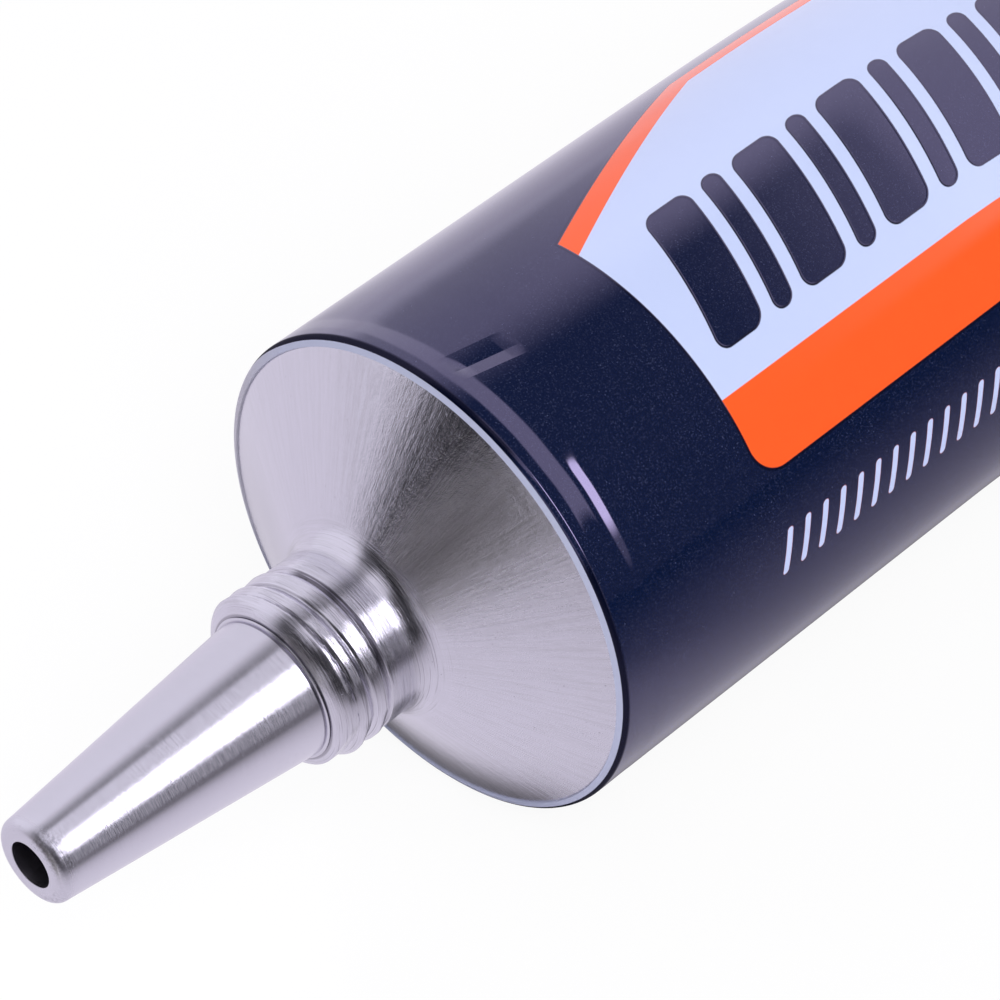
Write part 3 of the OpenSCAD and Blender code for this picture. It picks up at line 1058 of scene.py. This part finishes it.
def capPath(s):
    # lengths are measured from the cap's mouth towards its closed end
    inner = capL - s["topT"]
    skirtR = capR - s["wall"]
    sunk = capL - s["gateDepth"]
    gateIn, gateOut = s["gateR"]
    mouthOut, mouthIn = s["mouthRound"]
    mouth = s["sleeveMouth"]
    path = rounded([
        (sunk, 0, 0), (sunk, gateIn, 0.1), (capL, gateOut, 0.1),
        (capL, capR, s["topRound"]), (0, capR, mouthOut), (0, skirtR, mouthIn), (inner, skirtR, 0.9),
        (inner, s["sleeveOuterR"], 0.6), (mouth, s["sleeveOuterR"], 0.3),
        (mouth, s["sleeveInnerR"], 0.45), (inner, s["sleeveInnerR"], 0.1), (inner, 0, 0),
    ], 6)
    return placed(filled(path, s["pathGap"]), capHigh.x)


def cutFlutes(piece, s):
    pitch = 2 * math.pi / s["flutes"]
    fluteEnd, bandStart = (capL - s["plainBand"] + past for past in s["fluteEnd"])
    for vertex in piece.data.vertices:
        along = (capHigh.x - vertex.co.x) / mm
        radius, angle = polar(vertex.co)
        if radius / mm < capR - s["fluteSkin"]:
            continue
        off = ((angle / pitch) % 1 - 0.5) * pitch * capR
        reach = s["fluteR"] ** 2 - off ** 2
        if reach <= 0:
            continue
        depth = max(0.0, math.sqrt(reach) - s["fluteR"] + s["fluteDepth"])
        depth *= 1 - smooth(fluteEnd, bandStart, along)
        putPolar(vertex, min(radius, (capR - depth) * mm), angle)


def addWebs(piece, s):
    # one web is modelled, the others are turned copies with meshes of their own
    inner = capL - s["topT"]
    innerR, outerR = s["sleeveOuterR"] - s["webInto"], capR - s["wall"] + s["webInto"]
    middle = capHigh.x - (inner - s["webL"] / 2 + s["webUnder"]) * mm
    size = Vector((s["webL"] + 2 * s["webUnder"], s["webT"], outerR - innerR)) * mm
    clearSelection()
    bpy.ops.mesh.primitive_cube_add(size=1, location=(middle, 0, axisZ + (innerR + outerR) / 2 * mm),
                                    scale=size, calc_uvs=False)
    first = bpy.context.object
    bpy.ops.object.transform_apply(location=True, rotation=True, scale=True)
    webs = [first]
    for k in range(1, s["webs"]):
        makeActive(first)
        bpy.ops.object.duplicate(linked=False)
        webs.append(bpy.context.object)
        bpy.ops.object.mode_set(mode="EDIT")
        selectAll()
        bpy.ops.transform.rotate(value=2 * math.pi * k / s["webs"], orient_axis="X",
                                 center_override=(0, 0, axisZ))
        bpy.ops.object.mode_set(mode="OBJECT")
    makeActive(first)
    for web in webs:
        web.select_set(True)
    bpy.ops.object.join()
    applyModifier(piece, "BOOLEAN", object=first, operation="UNION", solver="EXACT")
    bpy.data.objects.remove(first)


screwCap = drawChain("screwCap", capPath(capShape))
spinRound(capShape["turnSteps"])
cutFlutes(screwCap, capShape)
addWebs(screwCap, capShape)
smoothPiece(screwCap, 32)
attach(screwCap, "cap")
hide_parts("cap")

linerShape = {"pressR": 2.1, "pressW": 0.5, "pressDepth": 0.12, "turnSteps": 96, "pathGap": 0.8}


def linerPath(s):
    radius = (linerHigh.z - linerLow.z) / 2 / mm
    thick = (linerHigh.x - linerLow.x) / mm
    r, w, depth = s["pressR"], s["pressW"], s["pressDepth"]
    path = rounded([
        (thick, 0, 0), (thick, radius, 0.12), (0, radius, 0.2), (0, r + w, 0.15),
        (depth, r + w / 2, 0.15), (depth, r - w / 2, 0.15), (0, r - w, 0.15), (0, 0, 0),
    ], 4)
    return placed(filled(path, s["pathGap"]), linerHigh.x)


capLiner = drawChain("capLiner", linerPath(linerShape))
spinRound(linerShape["turnSteps"])
smoothPiece(capLiner, 40)
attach(capLiner, "liner")
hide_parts("cap_liner")
print("cap and disc turned")

softColours = {
    "cap": (0.69, 0.68, 0.655, 1),
    "capHaze": (0.62, 0.61, 0.585, 1),
    "foam": (0.66, 0.66, 0.65, 1),
    "foamPoreShade": (0.42, 0.42, 0.42, 1),
    "cement": (0.42, 0.23, 0.05, 1),
    "cementSwirl": (0.60, 0.38, 0.11, 1),
    "cementBubble": (0.74, 0.56, 0.24, 1),
    "latex": (0.62, 0.58, 0.47, 1),
    "latexSkin": (0.74, 0.70, 0.60, 1),
}


def capPlastic(colours):
    material, place, _ = newMaterial("capPlastic", 1.49)
    haze = place.grain(place, 90.0, 3.0, 0.55)
    orangePeel = place.grain(place, 1400.0, 2.0, 0.5)
    x, _, _ = place.parts()
    flow = place.grain(place.vector(x * 220, 0.0, 0.0), 1.0, 2.0)
    colour = place.colours(haze.above(0.5, 0.3) * 0.4, colours["cap"], colours["capHaze"])
    rough = 0.34 + (haze - 0.5) * 0.2 + (flow - 0.5) * 0.1
    feed(material, colour, rough, place.bump(orangePeel, 0.12, 0.03 * mm))
    return material


def linerFoam(colours):
    material, place, _ = newMaterial("linerFoam", 1.45)
    pores = place.cells(place, 3400.0)
    haze = place.grain(place, 500.0, 2.0)
    # painted shade: the pores, which are pits in the bump, are darker
    colour = place.colours(pores.below(0.22, 0.12) * 0.5, colours["foam"], colours["foamPoreShade"])
    feed(material, colour, 0.7 + (haze - 0.5) * 0.2, place.bump(pores, 0.4, 0.05 * mm))
    return material


def cementFilling(colours):
    material, place, _ = newMaterial("cementFilling", 1.5)
    swirl = place.grain(place, 130.0, 4.0, 0.6)
    bubbles = place.cells(place, 700.0).below(0.16, 0.06)
    colour = place.colours(swirl, colours["cement"], colours["cementSwirl"])
    colour = place.colours(bubbles * 0.4, colour, colours["cementBubble"])
    feed(material, colour, 0.2 + swirl * 0.15, place.bump(swirl, 0.2, 0.1 * mm))
    return material


def sealLatex(colours):
    material, place, _ = newMaterial("sealLatex", 1.5)
    skin = place.grain(place, 600.0, 3.0, 0.6)
    colour = place.colours(skin, colours["latex"], colours["latexSkin"])
    feed(material, colour, 0.45 + skin * 0.2, place.bump(skin, 0.3, 0.05 * mm))
    return material


dress(screwCap, capPlastic(softColours))
dress(capLiner, linerFoam(softColours))
dress(nodes["adhesive"], cementFilling(softColours))
dress(nodes["end_seal"], sealLatex(softColours))
print("plastic, foam and filling dressed")

studio = {
    "tint": (0.985, 0.955, 1.06),
    "dark": 0.04,
    "right": 0.14,           # how much darker the backdrop is on the right
    "back": 0.95,
    "backdrop": (0.15, 0.47, 0.07, 0.9),     # lean, start, and how much later and sharper on the left
    "card": 1.25,
    "floor": (0.90, 0.88, 0.95, 1),
    "floorShine": (0.82, 0.78, 0.88),
    "floorSeen": (0.97, 0.97, 0.97, 1),
    "floorGlow": 0.92,       # share of plain white that the camera sees in it
    "floorSize": 6,
    "floorDrop": 0.02,
    "boxAim": (-0.42, -0.55, 0.72),
    "boxAway": 0.9,
    "boxSize": 0.5,
    "boxPower": 5.5,
    "lampAt": (-15, -8),     # from the cap's mouth and from the axis
    "lampAim": (0.55, 0.75, 0.35),
    "lampAway": 0.47,
    "lampSize": 0.06,
    "lampSpread": 14,
    "lampPower": 0.012,
}
# what the metal mirrors of the floor, a glow with painted light and shadow: edges and their softness in
# millimetres, along the tube from the rim, or from the origin for the far part, and across it from the
# middle line
floorLook = {
    "reach": 55,                         # pale around the tube
    "ahead": (0.2, 0.14, 50, 50),        # how soon it darkens ahead of the rim, and less behind the tube
    "near": (0.75, 0.9, 18, 8),          # how soon towards the camera, and more beside the tube
    # painted shadow under the tube and beside it, painted light on a card behind and on the left, and
    # darker far off
    "underX": (-1.5, 1.7), "underY": (11, 3), "underShadow": 0.8,
    "cardLean": 0.45, "cardX": (10, 15), "cardY": (45, 20), "cardLight": 0.45,
    "besideX": (-3, 4), "besideY": (32, 10), "besideShadow": 0.15,
    "leftLean": 0.42, "leftX": (0, 20), "leftY": (-100, 50), "leftLight": 0.25,
    "farLean": 0.55, "farX": (-400, 120), "farY": (0, 60), "farDark": 0.8,
}
# what it mirrors of the room: a level, and the part of the sky that has it
skyPatches = [
    (0.85, ("z", "above", 0.80, 0.04), ("x", "below", 0.42, 0.03), ("y", "below", 0.08, 0.08)),
    (0.12, ("z", "between", 0.37, 0.85, 0.05), ("x", "between", -0.4, 0.42, 0.03),
     ("y", "below", -0.15, 0.1)),
    (0.3, ("z", "above", 0.80, 0.04), ("x", "below", 0.42, 0.03), ("y", "above", 0.08, 0.08)),
    (0.5, ("z", "between", -0.1, 0.42, 0.06), ("x", "between", 0.2, 0.42, 0.03),
     ("y", "below", -0.6, 0.1)),
    (6.0, ("z", "above", 0.43, 0.08), ("z", "below", 0.82, 0.04), ("x", "between", 0.24, 0.41, 0.02),
     ("y", "below", -0.3, 0.05)),
    (1.1, ("x", "above", 0.60, 0.04), ("z", "above", 0.42, 0.05)),
    (0.7, ("x", "below", -0.8, 0.1), ("y", "below", 0.05, 0.08), ("z", "below", 0.16, 0.08)),
]


def buildWorld(s):
    world = bpy.data.worlds.new("studioWorld")
    bpy.context.scene.world = world
    world.use_nodes = True
    tree = world.node_tree
    tree.nodes.clear()
    coords = tree.nodes.new("ShaderNodeTexCoord")
    aim = Wire(tree, coords.outputs["Generated"])
    x, y, z = aim.parts()
    axes = {"x": x, "y": y, "z": z}
    light = s["dark"]
    for level, *limits in skyPatches:
        share = 1.0
        for axis, side, *ends in limits:
            share = share * getattr(axes[axis], side)(*ends)
        light = light + (level - light) * share
    # a pale backdrop behind the tube, with a brighter card on its right
    lean, start, later, sharper = s["backdrop"]
    left = x.below(0.0, 0.3)
    back = ((y + z * lean - start - left * later) * (1 + left * sharper)).above(0.0, 0.2)
    light = light.blendTo(s["back"] - s["right"] * x.above(0.25, 0.1), back)
    strip = (x.above(0.465, 0.02) * z.below(0.14, 0.1)).most(x.above(0.56, 0.03))
    light = light.blendTo(s["card"], back * strip)
    colour = aim.node("ShaderNodeVectorMath", {0: s["tint"], "Scale": light}, operation="SCALE")
    room = aim.node("ShaderNodeBackground", {"Color": colour, "Strength": 1.0})
    white = aim.node("ShaderNodeBackground", {"Color": (1, 1, 1, 1), "Strength": 1.0})
    path = tree.nodes.new("ShaderNodeLightPath")
    seen = Wire(tree, path.outputs["Is Camera Ray"])
    both = aim.mixed(seen, room, white)
    tree.links.new(both.socket, tree.nodes.new("ShaderNodeOutputWorld").inputs["Surface"])


def hangLight(name, target, aim, away, size, power, spread=180):
    clearSelection()
    aim = Vector(aim).normalized()
    bpy.ops.object.light_add(type="AREA", location=Vector(target) + aim * away)
    box = bpy.context.object
    box.name = name
    box.rotation_euler = aim.to_track_quat("Z", "Y").to_euler()
    box.data.size = size
    box.data.spread = math.radians(spread)
    box.data.energy = power
    box.visible_glossy = False


def hangLights(s):
    # a large soft box near the camera, and a small lamp behind that reaches into the cap
    hangLight("softBox", (rimX, 0, axisZ), s["boxAim"], s["boxAway"], s["boxSize"], s["boxPower"])
    along, aside = s["lampAt"]
    inCap = (capHigh.x + along * mm, aside * mm, axisZ)
    hangLight("capLamp", inCap, s["lampAim"], s["lampAway"], s["lampSize"], s["lampPower"], s["lampSpread"])


def floorLevel(x, y, f):
    # x and y are in millimetres from the origin
    fromRim = x - rimX / mm
    slope, less, lessFrom, lessSoft = f["ahead"]
    along = fromRim.least(0.0) * (slope - less * y.above(lessFrom, lessSoft))
    slope, more, moreFrom, moreSoft = f["near"]
    near = y.least(0.0) * (slope + more * fromRim.above(moreFrom, moreSoft))
    away = (along * along + near * near) / f["reach"] ** 2
    # painted light and shadow in the glow: a pool of light round the tube, shadows under and beside it,
    # light patches, darker far off
    under = fromRim.above(*f["underX"]) * abs(y).below(*f["underY"])
    card = (fromRim - y * f["cardLean"]).above(*f["cardX"]) * y.above(*f["cardY"])
    beside = fromRim.above(*f["besideX"]) * y.below(*f["besideY"])
    left = (fromRim + y * f["leftLean"]).below(*f["leftX"]) * y.below(*f["leftY"])
    far = x.below(*f["farX"]) * (y + x * f["farLean"]).below(*f["farY"])
    level = 1 - f["underShadow"] * under + f["cardLight"] * card
    level = level * (1 - f["farDark"] * far) * (1 - f["besideShadow"] * beside) / (away + 1)
    return level.most(left * f["leftLight"])


def buildFloor(s, f):
    clearSelection()
    bpy.ops.mesh.primitive_plane_add(size=s["floorSize"], location=(0, 0, -s["floorDrop"] * mm))
    floor = namedPiece("studioFloor")
    material = bpy.data.materials.new("paleFloor")
    material.use_nodes = True
    tree = material.node_tree
    tree.nodes.clear()
    place = Wire(tree, tree.nodes.new("ShaderNodeTexCoord").outputs["Object"])
    x, y, _ = place.parts()
    level = floorLevel(x / mm, y / mm, f)
    # the metal mirrors this glow with its painted light and shadow; the camera sees the floor nearly plain
    # white
    shine = place.node("ShaderNodeVectorMath", {0: s["floorShine"], "Scale": level}, operation="SCALE")
    path = tree.nodes.new("ShaderNodeLightPath")
    seen = Wire(tree, path.outputs["Is Camera Ray"])
    mirrored = Wire(tree, path.outputs["Is Glossy Ray"])
    lit = place.node("ShaderNodeBsdfDiffuse", {"Color": s["floor"]})
    shiny = place.node("ShaderNodeEmission", {"Color": shine, "Strength": 1.0})
    plain = place.node("ShaderNodeBsdfDiffuse", {"Color": s["floorSeen"]})
    glow = place.node("ShaderNodeEmission", {"Color": (1, 1, 1, 1), "Strength": 1.0})
    shown = place.mixed(s["floorGlow"], plain, glow)
    every = place.mixed(mirrored, place.mixed(seen, lit, shown), shiny)
    tree.links.new(every.socket, tree.nodes.new("ShaderNodeOutputMaterial").inputs["Surface"])
    dress(floor, material)


buildWorld(studio)
hangLights(studio)
buildFloor(studio, floorLook)

cameraPlace = {
    "fromRim": (-137.48, -138.174, 197.357),
    "azimuth": -46.16,
    "elevation": 44.44,
    "lens": 172.18,
    "sensor": 36.0,
    "clip": (0.005, 20),
}


def placeCamera(c):
    clearSelection()
    spot = Vector((rimX, 0, axisZ)) + Vector(c["fromRim"]) * mm
    tilt = math.radians(90 - c["elevation"])
    bpy.ops.object.camera_add(location=spot, rotation=(tilt, 0, math.radians(c["azimuth"])))
    camera = bpy.context.object
    camera.data.lens = c["lens"]
    camera.data.sensor_width = c["sensor"]
    camera.data.clip_start, camera.data.clip_end = c["clip"]
    bpy.context.scene.camera = camera


placeCamera(cameraPlace)
bpy.context.scene.view_settings.view_transform = "Standard"
print("floor, light and camera set")
